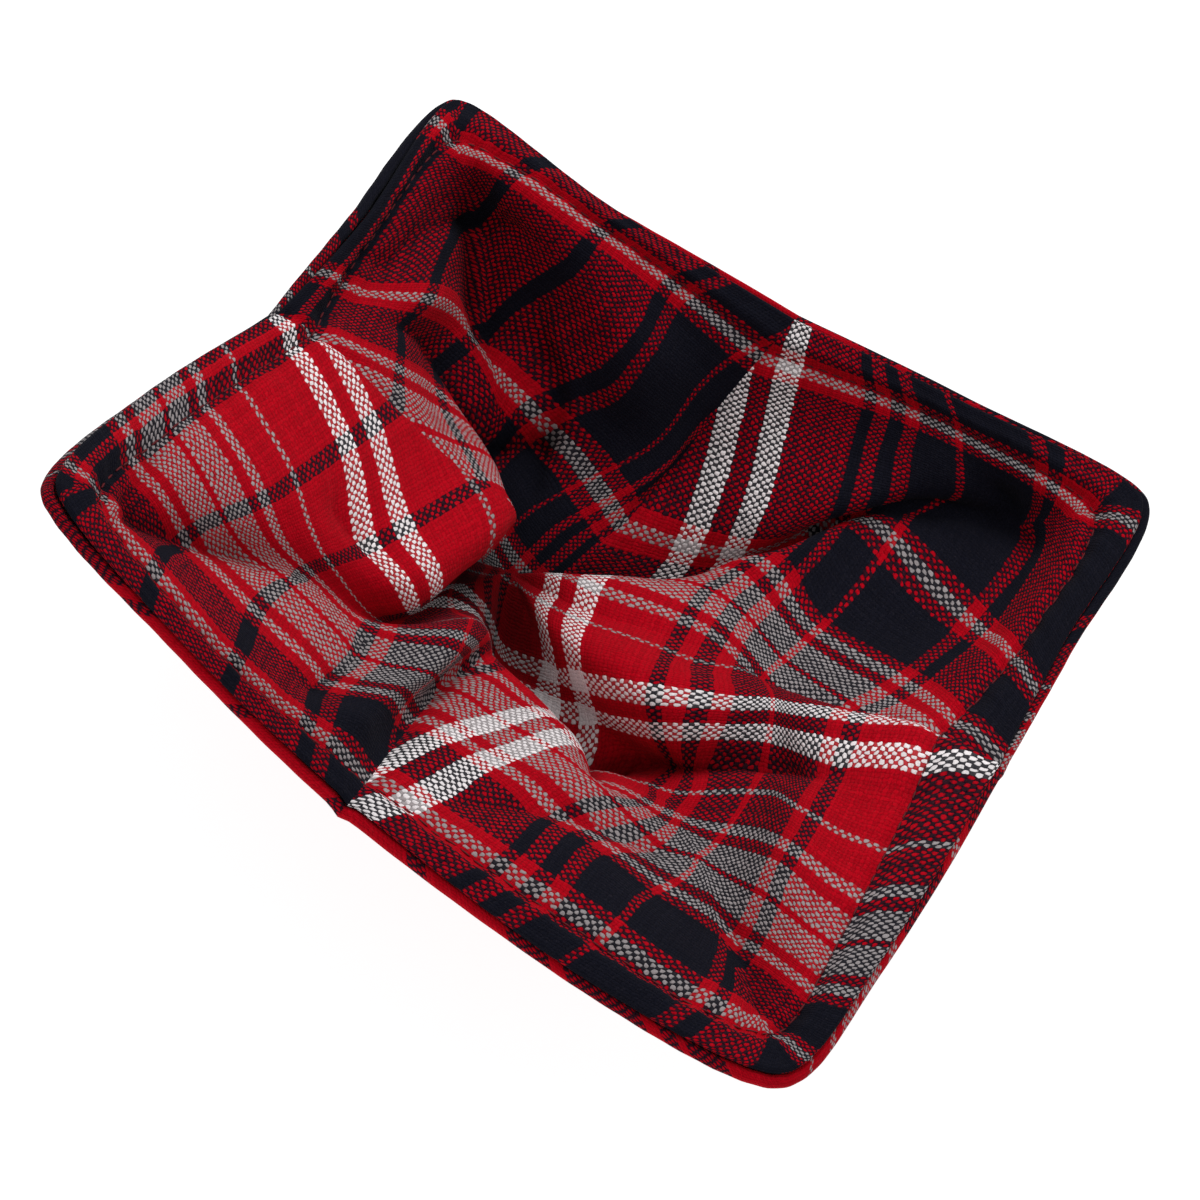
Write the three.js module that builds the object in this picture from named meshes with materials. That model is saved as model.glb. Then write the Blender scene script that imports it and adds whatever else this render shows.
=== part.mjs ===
// Bowl cozy: two quilted square panels, each drawn up by four darts, sewn together round the rim.
// Millimetres, +Z up, standing on the table. X runs along the near edge, Y from the near edge to the far one.
// Corners seen from above: A far left, B far right, C near right, D near left.
import * as THREE from "three";

// Sizes of the cut cloth and of the made-up sheets.
const CLOTH = { half: 120.5, dartRun: 65.5, diagonalTurn: 42 };
const INNER = { thick: 3.4, thickAtSeam: 1.5, seamRun: 0.12, thinnest: 1.4, give: 0.7, pressedLow: 1.7, lowest: 6.6 };
const OUTER = { thick: 2.3, bead: 1.9, between: 0.5 };
const GROOVE = { inset: 9, width: 2.4, depth: 1.3 };
// How far a corner is rounded: 1 fully, 0 leaves it sharp; tighter at the rim than in the folds below it.
const CORNER_ROUND = { rim: 0.65, folds: 0.7, from: 0.25 };
const SEAM_BLEND = 0.25; // share of a section's width over which a fold fades into a dart seam
const STEPS = { besideDart: 7, besideCorner: 7 };
// The finished shape is moved by this much, so that the origin lies under the middle of its box.
const CENTRED = { x: -0.48, y: 0.45 };

// Share of the way from the rim to the middle of the bowl at which each column of SECTIONS stands.
const AT = { rim: 0, groove: 0.0816, brow: 0.272, flank: 0.476, turn: 0.68, deep: 0.84, middle: 1 };
const COLUMNS = ["rim", "groove", "brow", "flank", "turn", "deep"];

// Darts: where the two legs reach the rim and where they meet, on the flat cloth.
const DARTS = {
  AB: { before: [-25, 120.5], after: [26, 120.5], tip: [3, 55] },
  BC: { before: [120.5, 34], after: [120.5, -27], tip: [55, 3] },
  CD: { before: [26, -120.5], after: [-34, -120.5], tip: [-4, -55] },
  DA: { before: [-120.5, -27], after: [-120.5, 40], tip: [-55, 6] },
};

// The inner panel's upper side as it lies, one row per section, clockwise from the far dart.
const SECTIONS = [
  { ray: "AB", rim: [2, 89, 62], groove: [1, 84, 56], brow: [-1, 77, 41], flank: [-2, 66, 25], turn: [-5, 43, 14], deep: [-11, 22, 8] },
  { ray: "B1", rim: [43, 91, 68], groove: [43, 88, 64], brow: [35, 80, 52], flank: [27, 61, 36], turn: [14, 48, 13], deep: [-6, 24, 9] },
  { ray: "B2", rim: [88, 90, 76], groove: [81, 84, 70], brow: [69, 82, 56], flank: [43, 74, 42], turn: [24, 49, 29], deep: [-3, 23, 14] },
  { ray: "B3", rim: [90, 47, 67], groove: [84, 50, 62], brow: [72, 49, 49], flank: [46, 41, 36], turn: [22, 35.5, 31], deep: [-5, 17, 29] },
  { ray: "BC", rim: [92, 11, 61], groove: [81, 12, 57], brow: [64, 13, 47], flank: [45, 14, 39], turn: [29, 14, 36], deep: [0, 9, 29] },
  { ray: "C3", rim: [91, -54, 63], groove: [83, -52, 61], brow: [64, -30, 53], flank: [51, -5, 39], turn: [26, -11, 41], deep: [-1, 0, 29] },
  { ray: "C2", rim: [86, -89, 60], groove: [80, -81, 58], brow: [63, -59, 48], flank: [48, -35, 38], turn: [30, -19, 29], deep: [5, -7, 24] },
  { ray: "C1", rim: [44, -95, 57], groove: [40, -88, 58], brow: [26, -66, 54], flank: [18.5, -46, 46], turn: [11.5, -26, 36], deep: [-4, -5, 15] },
  { ray: "CD", rim: [-10, -89, 53], groove: [-10, -82, 52], brow: [-11, -62, 45], flank: [-11, -39, 37], turn: [-8, -19, 31], deep: [-10, -2, 13] },
  { ray: "D1", rim: [-51, -90, 64], groove: [-46, -86, 63], brow: [-35, -73, 56], flank: [-22, -49, 46], turn: [-15, -21, 39], deep: [-16, -2, 21] },
  { ray: "D2", rim: [-88, -85, 75], groove: [-81, -78, 72], brow: [-65, -65, 60], flank: [-45, -46, 48], turn: [-27, -28, 33], deep: [-24, 1, 21] },
  { ray: "D3", rim: [-91, -45, 66], groove: [-83, -45, 66], brow: [-61, -40, 62], flank: [-43, -32, 51], turn: [-26, -18, 38], deep: [-26, 9, 16] },
  { ray: "DA", rim: [-85.5, 5, 56], groove: [-79, 8, 54], brow: [-61, 11, 48], flank: [-40, 17, 37], turn: [-23, 16, 32], deep: [-26, 17, 14] },
  { ray: "A3", rim: [-85, 39, 59], groove: [-82, 38, 54], brow: [-68, 40, 46], flank: [-57, 41, 31], turn: [-34, 33, 26], deep: [-28, 22, 11] },
  { ray: "A2", rim: [-90, 89, 60], groove: [-84, 79, 59], brow: [-69, 76, 46], flank: [-53, 64, 28], turn: [-33, 43, 12], deep: [-24, 23, 8] },
  { ray: "A1", rim: [-46, 86, 62], groove: [-44, 82, 60], brow: [-29, 73, 48], flank: [-18, 64, 28], turn: [-20.5, 41, 12.5], deep: [-18, 21, 7] },
];
const MIDDLE = [-17, 14, 20];

// Smaller folds, one row each: the line it follows on the flat cloth, half width, rise at its start and end (a trough,
// and sharp, where negative), and how much higher the cloth lies on the line's left than on its right.
const FOLDS = [
  { name: "pinchA", path: [[-97, 98], [-66, 67]], width: 7, rise: [-3, -3], step: 0 },
  { name: "lapA1", path: [[-92, 90], [-80, 77], [-67, 63]], width: 5, rise: [-2, -3], step: 4 },
  { name: "lapA2", path: [[-63, 78], [-53, 71], [-45, 66], [-39, 60], [-30, 51]], width: 5, rise: [-2, -3], step: 6 },
  { name: "creaseA", path: [[-52, 43], [-45, 50], [-39, 58]], width: 5, rise: [-7, -4], step: 0 },
  { name: "faintA", path: [[-105, 71], [-97, 80], [-88, 88], [-80, 92]], width: 4, rise: [-2, -3], step: 0 },
  { name: "brimA", path: [[-98, 90], [-108, 48]], width: 6, rise: [-2, -2], step: 0 },
  { name: "browA1", path: [[-80, 100], [-40, 84]], width: 12, rise: [3, 3], step: 0 },
  { name: "lobeA1", path: [[-40, 78], [-12, 70]], width: 14, rise: [3, 4], step: 0 },
  { name: "creaseA2", path: [[-92, 51], [-78, 50], [-62, 46], [-50, 40]], width: 6, rise: [-3, -6], step: 0 },
  { name: "ridgeA2", path: [[-88, 60], [-48, 57]], width: 6, rise: [2, 2], step: 0 },
  { name: "dimpleD", path: [[-78, -35], [-66, -30]], width: 6, rise: [-3, -3], step: 0 },
  { name: "edgeD", path: [[-58, -2], [-52, -28]], width: 10, rise: [3, 3], step: 0 },
  { name: "pinchD", path: [[-100, -100], [-78, -74]], width: 7, rise: [-4, -4], step: 0 },
  { name: "brimD", path: [[-109, -78], [-103, -104]], width: 6, rise: [-3, -3], step: 0 },
  { name: "pleatD", path: [[-26, -64], [-35, -98]], width: 7, rise: [3, 3], step: 0 },
  { name: "besidePleat", path: [[-46, -66], [-48, -92]], width: 7, rise: [-3, -3], step: 0 },
  { name: "seamD", path: [[-30, -108], [-6, -60]], width: 5, rise: [-4, -5], step: 0 },
  { name: "creaseC1", path: [[34, -99], [60, -74]], width: 7, rise: [-3, -3], step: 0 },
  { name: "ridgeC1", path: [[24, -62], [40, -74]], width: 9, rise: [3, 3], step: 0 },
  { name: "foldC1", path: [[22, -36], [32, -50], [40, -64]], width: 5, rise: [-8, -4], step: 0 },
  { name: "pinchC", path: [[106, -104], [90, -84]], width: 7, rise: [-3, -3], step: 0 },
  { name: "underC3", path: [[28, -40], [45, -39], [62, -38], [80, -36], [95, -33]], width: 5, rise: [-9, -3], step: 0 },
  { name: "ridgeC3", path: [[40, -15], [75, -20], [106, -22]], width: 10, rise: [3, 5], step: 0 },
  { name: "valleyB", path: [[24, 33], [35, 43], [44, 50], [51, 61], [66, 76], [82, 86]], width: 7, rise: [-8, -3], step: 0 },
  { name: "crestB", path: [[46, 36], [56, 52], [64, 64]], width: 7, rise: [3, 2], step: 0 },
  { name: "pinchB", path: [[80, 94], [92, 87]], width: 7, rise: [-3, -3], step: 0 },
  { name: "edgeB1", path: [[68, 92], [52, 76]], width: 8, rise: [2, 2], step: 0 },
  { name: "brimB", path: [[92, 82], [98, 62]], width: 6, rise: [-2, -2], step: 0 },
];
const NARROWEST = 5.5; // narrower folds are drawn this wide here, so that the mesh can follow them

// The outer panel's middle, one row per dart and corner; the rim follows the inner panel's, stand higher.
const OUTER_SECTIONS = [
  { ray: "AB", shoulder: [0, 86, 38], belly: [-1, 75, 17], foot: [-2, 50, 1.15], stand: 0.6 },
  { ray: "B2", shoulder: [82, 88, 50], belly: [67, 73, 20], foot: [38, 46, 1.15], stand: 0.6 },
  { ray: "BC", shoulder: [84, 10, 37], belly: [66, 9, 15], foot: [40, 8, 1.15], stand: 0.6 },
  { ray: "C2", shoulder: [78, -67, 38], belly: [60, -46, 15], foot: [36, -26, 1.15], stand: 0.8 },
  { ray: "CD", shoulder: [-8, -69, 34], belly: [-6, -52, 14], foot: [-4, -34, 1.15], stand: 0.8 },
  { ray: "D2", shoulder: [-77, -62, 50], belly: [-60, -38, 20], foot: [-36, -20, 1.15], stand: 1.2 },
  { ray: "DA", shoulder: [-81, 5, 36], belly: [-66, 5, 15], foot: [-44, 6, 1.15], stand: 0.4 },
  { ray: "A2", shoulder: [-83, 83, 40], belly: [-67, 68, 16], foot: [-40, 44, 1.15], stand: 1.0 },
];
const OUTER_MIDDLE = [-2, 7, 1.15];
const OUTER_AT = { rim: 0, shoulder: 0.2, belly: 0.42, foot: 0.7, middle: 1 };

// How far down each ring of the two meshes stands.
const INNER_RINGS = [0, 0.012, 0.03, 0.052, 0.075, 0.1, 0.13, 0.165, 0.205, 0.25, 0.295, 0.34, 0.385, 0.43, 0.475, 0.52, 0.565, 0.61, 0.655, 0.7, 0.75, 0.8, 0.86, 0.93];
const OUTER_RINGS = [0, 0.02, 0.05, 0.09, 0.14, 0.2, 0.27, 0.34, 0.42, 0.5, 0.58, 0.65, 0.7, 0.85];

const add = (a, b, k = 1) => a.map((x, i) => x + k * b[i]);
const mix = (a, b, s) => a.map((x, i) => x * (1 - s) + b[i] * s);
const size = (a) => Math.hypot(...a);
const unit = (a) => a.map((x) => x / (size(a) || 1));
const cross = (a, b) => [a[1] * b[2] - a[2] * b[1], a[2] * b[0] - a[0] * b[2], a[0] * b[1] - a[1] * b[0]];
const isDart = (i) => i % 4 === 0;
const isCorner = (i) => i % 4 === 2;
const wrap = (i, n) => ((i % n) + n) % n;

function hermite(p0, p1, m0, m1, s) {
  const [a, b, c, d] = [2 * s ** 3 - 3 * s ** 2 + 1, s ** 3 - 2 * s ** 2 + s, 3 * s ** 2 - 2 * s ** 3, s ** 3 - s ** 2];
  return p0.map((x, i) => a * x + b * m0[i] + c * p1[i] + d * m1[i]);
}

// A point on one section: knots at the shares in at, tangents from the neighbours.
function along(knots, at, first, last, v) {
  let j = at.findIndex((x, i) => i < at.length - 1 && v <= at[i + 1]);
  if (j < 0) j = at.length - 2;
  const slope = (i) => {
    if (i === 0) return first;
    if (i === at.length - 1) return last;
    const [h0, h1] = [at[i] - at[i - 1], at[i + 1] - at[i]];
    return knots[i].map((x, c) => (((x - knots[i - 1][c]) / h0) * h1 + ((knots[i + 1][c] - x) / h1) * h0) / (h0 + h1));
  };
  const h = at[j + 1] - at[j];
  return hermite(knots[j], knots[j + 1], slope(j).map((x) => x * h), slope(j + 1).map((x) => x * h), (v - at[j]) / h);
}

// Every section's points at the given rings: rows[section][ring].
function sectionPoints(knotsOf, at, middle, rings) {
  const all = knotsOf.map((row) => [...row, middle]);
  const last = at.length - 1;
  return all.map((knots, i) => {
    const across = all[wrap(i + all.length / 2, all.length)][last - 1];
    const first = add(knots[1], knots[0], -1).map((x) => x / (at[1] - at[0]));
    const end = add(across, knots[last - 1], -1).map((x) => x / (2 * (at[last] - at[last - 1])));
    return rings.map((v) => along(knots, at, first, end, v));
  });
}

// The places round the bowl at which columns of the mesh stand: section i, share s of the way to section i + 1.
function columnPlaces() {
  const out = [];
  for (let i = 0; i < 16; i++) {
    const corner = isCorner(i) || isCorner(i + 1);
    const n = isDart(i) || isDart(i + 1) ? STEPS.besideDart : STEPS.besideCorner;
    for (let q = 0; q < n; q++) {
      const s = q / n;
      out.push({ i, s: corner && isCorner(i + 1) ? 1 - (1 - s) ** 1.15 : corner ? s ** 1.15 : s });
    }
  }
  return out;
}

// Points between the sections: smooth round the bowl, tight at the corners and broken at the dart seams.
function between(rows, ring, i, s, breaks, v = 0) {
  const at = (k) => rows[wrap(k, 16)][ring];
  const gap = add(at(i + 1), at(i), -1);
  const round = CORNER_ROUND.rim + (CORNER_ROUND.folds - CORNER_ROUND.rim) * Math.min(1, v / CORNER_ROUND.from);
  const tangent = (k) => {
    if (breaks && isDart(wrap(k, 16))) return null;
    const t = add(at(k + 1), at(k - 1), -1);
    return t.map((x) => (x / 2) * (isCorner(wrap(k, 16)) ? round : 1));
  };
  let [m0, m1] = [tangent(i), tangent(i + 1)];
  if (!m0) m0 = gap.map((x, c) => 1.5 * x - 0.5 * m1[c]);
  if (!m1) m1 = gap.map((x, c) => 1.5 * x - 0.5 * m0[c]);
  return hermite(at(i), at(i + 1), m0, m1, s);
}

// The flat cloth's rim and turning points at section i, on the side before or after a dart.
function flatEnds(i, side) {
  const names = ["AB", "BC", "CD", "DA"];
  const corner = (k) => [[1, 1], [1, -1], [-1, -1], [-1, 1]][wrap(k, 4)];
  const h = CLOTH.half, t = CLOTH.diagonalTurn;
  i = wrap(i, 16);
  const quarter = Math.floor(i / 4), place = i % 4;
  const cornerEnds = [corner(quarter).map((x) => x * h), corner(quarter).map((x) => x * t)];
  const dart = (k, which) => [DARTS[names[wrap(k, 4)]][which], DARTS[names[wrap(k, 4)]].tip];
  if (place === 0) return dart(quarter, side);
  if (place === 2) return cornerEnds;
  const near = place === 1 ? dart(quarter, "after") : dart(quarter + 1, "before");
  return near.map((p, c) => mix(p, cornerEnds[c], 0.5));
}
function flatPoint(i, s, v) {
  const [a, b] = [flatEnds(i, "after"), flatEnds(i + 1, "before")];
  const rim = mix(a[0], b[0], s), turn = mix(a[1], b[1], s);
  return v <= AT.turn ? mix(rim, turn, v / AT.turn) : mix(turn, [0, 0], (v - AT.turn) / (1 - AT.turn));
}

// What the small folds and the topstitched groove add at a place on the flat cloth.
function foldShift(flat, normal) {
  let lift = 0;
  for (const { path, width, rise, step } of FOLDS) {
    const runs = path.slice(1).map((p, k) => add(p, path[k], -1)), lengths = runs.map(size);
    const whole = lengths.reduce((a, b) => a + b);
    let near = Infinity, share = 0, side = 0, passed = 0;
    runs.forEach((run, k) => {
      const reach = add(flat, path[k], -1);
      const s = Math.min(1, Math.max(0, (reach[0] * run[0] + reach[1] * run[1]) / lengths[k] ** 2));
      const away = size(add(reach, run, -s));
      if (away < near) [near, share, side] = [away, (passed + s * lengths[k]) / whole, run[0] * reach[1] - run[1] * reach[0]];
      passed += lengths[k];
    });
    const wide = Math.max(width, NARROWEST), deep = rise[0] * (1 - share) + rise[1] * share;
    lift += deep * (rise[0] < 0 ? Math.exp((-1.3 * near) / wide) : Math.exp(-((near / wide) ** 2)));
    const fade = Math.min(1, Math.min(share, 1 - share) / 0.2);
    lift += (step / 2) * Math.sign(side) * Math.tanh(near / 1.3) * Math.exp(-near / wide) * fade;
  }
  const inset = CLOTH.half - Math.max(Math.abs(flat[0]), Math.abs(flat[1]));
  return add([0, 0, 0], normal, lift - GROOVE.depth * Math.exp(-(((inset - GROOVE.inset) / GROOVE.width) ** 2)));
}

// Unit normals of a grid of points, grid[column][ring], closed round the bowl, with the middle point last.
function gridNormals(grid, middle, smooth) {
  const n = grid.length, m = grid[0].length;
  const point = (c, r) => (r >= m ? middle : grid[wrap(c, n)][r]);
  let normals = grid.map((col, c) => col.map((_, r) => {
    const round = add(point(c + 1, r), point(c - 1, r), -1);
    const down = add(point(c, r + 1), point(c, Math.max(0, r - 1)), -1);
    return unit(cross(down, round));
  }));
  for (let k = 0; k < smooth; k++)
    normals = normals.map((col, c) => col.map((v, r) => unit(
      [normals[wrap(c + 1, n)][r], normals[wrap(c - 1, n)][r], col[Math.max(0, r - 1)], col[Math.min(m - 1, r + 1)]]
        .reduce((a, b) => add(a, b), v.map((x) => 2 * x)))));
  return normals;
}

// The upper side of the inner panel, folds and groove included, and how far each place is pressed into the padding.
function innerFace(places) {
  const knots = SECTIONS.map((row) => COLUMNS.map((c) => row[c]));
  const rows = sectionPoints(knots, [...COLUMNS, "middle"].map((c) => AT[c]), MIDDLE, INNER_RINGS);
  const grid = places.map(({ i, s }) => INNER_RINGS.map((v, r) => between(rows, r, i, s, true, v)));
  const normals = gridNormals(grid, MIDDLE, 1);
  const columnOfDart = places.map(({ i, s }, c) => (isDart(i) && s === 0 ? c : -1)).filter((c) => c >= 0);
  const shiftAt = (c, i, s, r) => foldShift(flatPoint(i, s, INNER_RINGS[r]), normals[c][r]);
  const seamShift = columnOfDart.map((c) => INNER_RINGS.map((_, r) => mix(
    shiftAt(c, places[c].i, 0, r), shiftAt(c, places[c].i - 1, 1, r), 0.5)));
  const pressed = grid.map(() => []);
  const face = grid.map((col, c) => col.map((p, r) => {
    const { i, s } = places[c];
    const own = shiftAt(c, i, s, r);
    const after = i % 4 === 0 ? Math.max(0, 1 - s / SEAM_BLEND) : 0;
    const before = i % 4 === 3 ? Math.max(0, 1 - (1 - s) / SEAM_BLEND) : 0;
    let shift = mix(own, seamShift[wrap(Math.floor(i / 4), 4)][r], after ** 2);
    shift = mix(shift, seamShift[wrap(Math.floor(i / 4) + 1, 4)][r], before ** 2);
    const [x, y, z] = add(p, shift);
    pressed[c][r] = Math.max(0, -shift.reduce((a, b, k) => a + b * normals[c][r][k], 0));
    return [x, y, (z + INNER.lowest + Math.hypot(z - INNER.lowest, 0.8)) / 2]; // nothing sinks into the outer foot
  }));
  return { face, pressed };
}

// A closed sheet: its face, its back and the strip or bead that joins them at the rim.
function sheetMesh(name, face, back, faceMiddle, backMiddle, beads, colour) {
  const n = face.length, m = face[0].length, points = [], triangles = [];
  const put = (p) => points.push(p) - 1;
  const top = face.map((col) => col.map(put)), low = back.map((col) => col.map(put));
  const bead = beads.map((ring) => ring.map(put));
  const topMiddle = put(faceMiddle), lowMiddle = put(backMiddle);
  const quad = (a, b, c, d) => triangles.push(a, b, c, a, c, d);
  for (let c = 0; c < n; c++) {
    const e = (c + 1) % n;
    for (let r = 0; r < m - 1; r++) {
      quad(top[c][r], top[c][r + 1], top[e][r + 1], top[e][r]);
      quad(low[c][r], low[e][r], low[e][r + 1], low[c][r + 1]);
    }
    triangles.push(top[c][m - 1], topMiddle, top[e][m - 1], low[c][m - 1], low[e][m - 1], lowMiddle);
    const rings = [top.map((col) => col[0]), ...bead, low.map((col) => col[0])];
    for (let k = 0; k < rings.length - 1; k++) quad(rings[k][c], rings[k][e], rings[k + 1][e], rings[k + 1][c]);
  }
  const geometry = new THREE.BufferGeometry();
  geometry.setAttribute("position", new THREE.BufferAttribute(new Float32Array(points.flat()), 3));
  geometry.setIndex(triangles);
  geometry.computeVertexNormals();
  const mesh = new THREE.Mesh(geometry, new THREE.MeshStandardMaterial({ color: colour, roughness: 1 }));
  mesh.name = name;
  return mesh;
}

const places = columnPlaces();
const { face, pressed } = innerFace(places);
const faceMiddle = add(MIDDLE, foldShift([0, 0], [0, 0, 1]));
const faceNormals = gridNormals(face, faceMiddle, 3);
const paddingNormals = gridNormals(face, faceMiddle, 8);
const innerThick = (v) => {
  const s = Math.min(1, v / INNER.seamRun);
  const low = Math.min(1, Math.max(0, (v - AT.turn) / 0.1));
  return INNER.thickAtSeam + (INNER.thick - INNER.thickAtSeam) * s * s * (3 - 2 * s) - INNER.pressedLow * low;
};
// The padding is squeezed under creases and stitches, and where the cloth turns too tightly for its full thickness.
function squeezed(face, normals, thickAt) {
  const n = face.length, m = face[0].length;
  let thick = face.map((_, c) => INNER_RINGS.map((v, r) => Math.max(INNER.thinnest, thickAt(v) - INNER.give * pressed[c][r])));
  const back = (c, r) => add(face[c][r], normals[c][r], -thick[c][r]);
  for (let turn = 0; turn < 30; turn++) {
    const tight = new Set();
    for (let c = 0; c < n; c++) for (let r = 0; r < m; r++)
      for (const [d, q] of [[wrap(c + 1, n), r], [c, r + 1]]) {
        if (q >= m) continue;
        const e = add(face[d][q], face[c][r], -1), b = add(back(d, q), back(c, r), -1);
        if (e[0] * b[0] + e[1] * b[1] + e[2] * b[2] < 0.35 * size(e) ** 2) tight.add(c * m + r).add(d * m + q);
      }
    for (const k of tight) thick[Math.floor(k / m)][k % m] = Math.max(INNER.thinnest, thick[Math.floor(k / m)][k % m] * 0.88);
    thick = thick.map((col, c) => col.map((x, r) => {
      const around = [thick[wrap(c + 1, n)][r], thick[wrap(c - 1, n)][r], col[Math.max(0, r - 1)], col[Math.min(m - 1, r + 1)]];
      return Math.min(x, 0.25 * around.reduce((a, b) => a + b) + 0.25);
    }));
  }
  return face.map((col, c) => col.map((_, r) => back(c, r)));
}
const innerBack = squeezed(face, paddingNormals, innerThick);
const lastRing = INNER_RINGS.length - 1;
const innerMiddleBack = innerBack.reduce((sum, col, c) => add(sum, add(col[lastRing], face[c][lastRing], -1), 1 / face.length), faceMiddle);
const innerEdge = face.map((col, c) => add(
  mix(col[0], innerBack[c][0], 0.5), unit(add(col[0], col[1], -1)), 0.5));

// The outer panel hangs from the rim of the inner one.
const outerRows = OUTER_SECTIONS.map((row) => [row.shoulder, row.belly, row.foot]);
const outerKnots = SECTIONS.map((row, i) => {
  if (i % 2 === 0) return outerRows[i / 2];
  const [a, b] = [outerRows[(i - 1) / 2], outerRows[((i + 1) / 2) % 8]];
  // between a dart and a corner the wall bellies out a little past the straight line
  return a.map((p, k) => add(mix(p, b[k], 0.5), unit([...mix(p, b[k], 0.5).slice(0, 2), 0]), k < 2 ? 2 : 1));
});
const rimOuter = places.map(({ i, s }, c) => {
  const lift = unit(add(face[c][0], face[c][2], -1));
  const offset = INNER.thickAtSeam + OUTER.between + OUTER.thick / 2;
  const k = Math.floor((i + s) / 2), share = (i + s) / 2 - k;
  const stand = OUTER_SECTIONS[k].stand * (1 - share) + OUTER_SECTIONS[(k + 1) % 8].stand * share;
  return add(add(face[c][0], faceNormals[c][0], -offset), lift, stand);
});
const outerAt = Object.values(OUTER_AT);
const outerColumns = places.map(({ i, s }, c) => {
  const knots = [0, 1, 2].map((k) => between(outerKnots, k, i, s, false, OUTER_AT.shoulder));
  return [rimOuter[c], ...knots, OUTER_MIDDLE];
});
const outerMiddleFace = outerColumns.map((knots) => OUTER_RINGS.map((v) => {
  const first = add(knots[1], knots[0], -1).map((x) => x / (outerAt[1] - outerAt[0]));
  const last = add(knots[4], knots[3], -1).map((x) => x / (outerAt[4] - outerAt[3]));
  const p = along(knots, outerAt, first, last, v);
  return v >= OUTER_AT.foot ? [p[0], p[1], OUTER_MIDDLE[2]] : [p[0], p[1], Math.max(p[2], OUTER_MIDDLE[2])];
}));
const outerNormals = gridNormals(outerMiddleFace, OUTER_MIDDLE, 2).map((col) => col.map((v, r) => (OUTER_RINGS[r] >= OUTER_AT.foot ? [0, 0, 1] : v)));
const outerFace = outerMiddleFace.map((col, c) => col.map((p, r) => add(p, outerNormals[c][r], OUTER.thick / 2)));
const outerBack = outerMiddleFace.map((col, c) => col.map((p, r) => {
  const q = add(p, outerNormals[c][r], -OUTER.thick / 2);
  return [q[0], q[1], Math.max(0, q[2])];
}));
const outerBeads = [-0.6, 0.6].map((turn) => outerMiddleFace.map((col, c) => {
  const up = unit(add(col[0], col[2], -1)), n = outerNormals[c][0];
  return add(add(col[0], up, OUTER.bead * Math.cos(turn)), n, -OUTER.bead * Math.sin(turn) * 0.9);
}));

const group = new THREE.Group();
group.name = "bowl_cozy";
group.position.set(CENTRED.x, CENTRED.y, 0);
group.add(sheetMesh("inner_panel", face, innerBack, faceMiddle, innerMiddleBack, [innerEdge], 0xa3121f));
group.add(sheetMesh("outer_panel", outerFace, outerBack, add(OUTER_MIDDLE, [0, 0, OUTER.thick / 2]), add(OUTER_MIDDLE, [0, 0, -OUTER.thick / 2]), outerBeads, 0x7d101b));
export default group;
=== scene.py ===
# Bowl cozy: two darted squares of padded plaid, one inside the other, sewn together round the rim.
# The shape is worked in millimetres, from the same sections as the solids, and meshed in metres.
import math
import bpy
import numpy as np
from mathutils import Matrix, Vector, noise


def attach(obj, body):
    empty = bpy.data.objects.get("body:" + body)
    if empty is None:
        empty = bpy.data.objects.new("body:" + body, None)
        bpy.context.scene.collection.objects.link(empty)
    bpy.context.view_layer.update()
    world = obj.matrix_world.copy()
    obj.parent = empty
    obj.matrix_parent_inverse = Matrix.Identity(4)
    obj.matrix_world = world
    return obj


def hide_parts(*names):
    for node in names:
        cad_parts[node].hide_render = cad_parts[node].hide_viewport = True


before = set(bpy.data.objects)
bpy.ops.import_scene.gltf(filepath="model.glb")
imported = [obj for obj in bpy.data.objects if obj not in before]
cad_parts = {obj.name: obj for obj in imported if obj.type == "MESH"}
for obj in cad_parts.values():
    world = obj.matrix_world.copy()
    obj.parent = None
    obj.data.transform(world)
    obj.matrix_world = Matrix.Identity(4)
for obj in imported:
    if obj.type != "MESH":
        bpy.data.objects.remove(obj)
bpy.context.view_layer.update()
mm = 0.001
shapeShift = np.array([-0.48, 0.45, 0.0])  # centres the made-up shape over the origin
print("frame loaded")


# the camera
photoView = {
    "azimuth": -3.91, "elevation": 46.12, "roll": 31.78,  # degrees; the roll turns the picture
    "distance": 666.6, "target": (5.27, -22.64, 68.0),  # mm
    "focalPixels": 3300.0, "framePixels": 1200.0, "sensor": 36.0,
}


def makeCamera(view):
    az, el, roll = (math.radians(view[k]) for k in ("azimuth", "elevation", "roll"))
    away = Vector((-math.sin(az) * math.cos(el), -math.cos(az) * math.cos(el), math.sin(el)))
    right = (-away).cross(Vector((0, 0, 1))).normalized()
    up = right.cross(-away)
    turnedRight = math.cos(roll) * right + math.sin(roll) * up
    turnedUp = -math.sin(roll) * right + math.cos(roll) * up
    data = bpy.data.cameras.new("photoCamera")
    data.lens = view["focalPixels"] / view["framePixels"] * view["sensor"]
    data.sensor_width = view["sensor"]
    data.clip_start, data.clip_end = 0.01, 20
    camera = bpy.data.objects.new("photoCamera", data)
    place = (Vector(view["target"]) + view["distance"] * away) * mm
    turn = Matrix((turnedRight, turnedUp, away)).transposed().to_4x4()
    camera.matrix_world = Matrix.Translation(place) @ turn
    bpy.context.scene.collection.objects.link(camera)
    bpy.context.scene.camera = camera


makeCamera(photoView)
print("camera made")

# the cloth as cut, and the sections it lies in
# half the sewn square, and where a diagonal turns into the foot
cloth = {"half": 120.5, "diagonalTurn": 42.0}
downTheWall = {"rim": 0, "groove": 0.0816, "brow": 0.272, "flank": 0.476, "turn": 0.68, "deep": 0.84,
               "middle": 1}

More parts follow.
